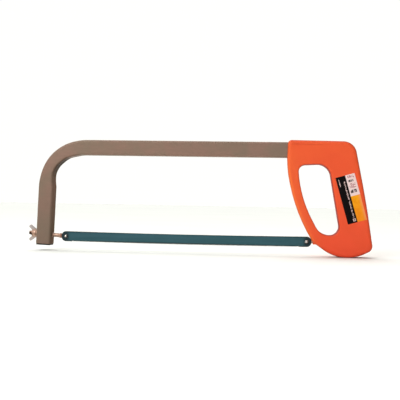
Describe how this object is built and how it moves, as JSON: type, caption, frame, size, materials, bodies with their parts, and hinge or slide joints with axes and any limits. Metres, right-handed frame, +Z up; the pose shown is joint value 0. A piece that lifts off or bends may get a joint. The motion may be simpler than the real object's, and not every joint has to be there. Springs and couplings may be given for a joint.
{
  "type": "hacksaw",
  "caption": "Fixed-frame hacksaw with a bent square tube frame, a moulded D handle and a wing nut that tensions a fine-toothed blade held on pins.",
  "frame": {"origin": "under the middle of the saw's bounding box, at the height of the handle's lowest point", "axes": "+X along the blade from the front leg to the handle, +Y across the saw towards the side without the blade, +Z up towards the back of the frame"},
  "size_m": [0.4287, 0.0263, 0.142],
  "materials": {
    "lacquered_steel": "grey-brown metallic lacquer, satin",
    "black_plastic": "satin",
    "zinc_plate": "yellowish zinc plate, dull",
    "pin_steel": "bright ground steel",
    "blade_paint": "dark teal paint, satin",
    "orange_plastic": "orange-red moulded plastic, semi-gloss",
    "core_steel": "plain mill finish",
    "label_paper": "printed label, satin"
  },
  "bodies": {
    "frame": {"frame_tube": "lacquered_steel", "tube_end_plug": "black_plastic", "tension_washer": "zinc_plate", "handle_near_shell": "orange_plastic", "handle_far_shell": "orange_plastic", "core_plate": "core_steel", "rear_blade_holder": "zinc_plate", "rear_blade_pin": "pin_steel", "holder_rivet": "core_steel", "tube_rivet_front": "core_steel", "tube_rivet_rear": "core_steel", "handle_screw_top": "zinc_plate", "handle_screw_grip": "zinc_plate", "handle_screw_heel": "zinc_plate", "handle_screw_nose": "zinc_plate", "handle_label": "label_paper"},
    "draw_bolt": {"tension_bolt": "zinc_plate", "front_blade_pin": "pin_steel"},
    "wing_nut": {"wing_nut": "zinc_plate"},
    "blade": {"blade": "blade_paint"}
  },
  "joints": [
    {"name": "wing_nut_turn", "type": "hinge", "parent": "frame", "child": "wing_nut", "pos_m": [-0.20409, 0, 0.02114], "axis": [-0.9972, 0, 0.075], "range_deg": [0, 2160]},
    {"name": "tension_slide", "type": "slide", "parent": "frame", "child": "draw_bolt", "axis": [0.9972, 0, -0.075], "range_m": [0, 0.00481], "deforming": ["blade"]},
    {"name": "blade_lift", "type": "slide", "parent": "frame", "child": "blade", "axis": [0, -1, 0], "range_m": [0, 0.02]}
  ],
  "couplings": [
    {"joint": "tension_slide", "follows": "wing_nut_turn", "m_per_rad": 0.00012732}
  ]
}
